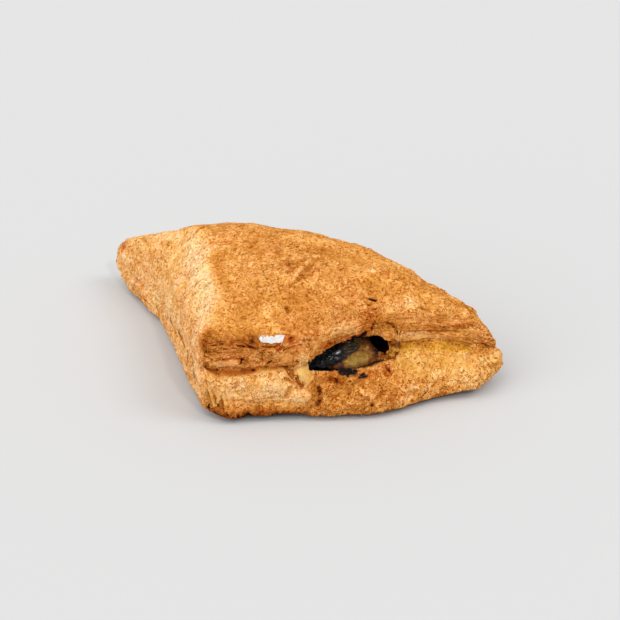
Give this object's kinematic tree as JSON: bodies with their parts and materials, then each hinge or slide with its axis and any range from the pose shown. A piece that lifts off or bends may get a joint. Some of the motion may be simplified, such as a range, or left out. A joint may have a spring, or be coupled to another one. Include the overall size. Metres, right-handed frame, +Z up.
{
  "type": "filled puff pastry triangle",
  "caption": "Baked puff pastry triangle folded over an aubergine filling, its front seam burst open so the flesh and a strip of dark skin show.",
  "frame": {"origin": "on the table, under the middle of the bounding box", "axes": "+Z up from the table; -Y out of the burst front side; +X along the front side, from the square corner to the right tip"},
  "size_m": [0.125, 0.1312, 0.0448],
  "materials": {
    "pastry": "satin",
    "filling": "gloss",
    "aubergine_skin": "gloss"
  },
  "bodies": {
    "root": {"pastry": "pastry", "filling": "filling", "aubergine_skin": "aubergine_skin"}
  },
  "joints": []
}
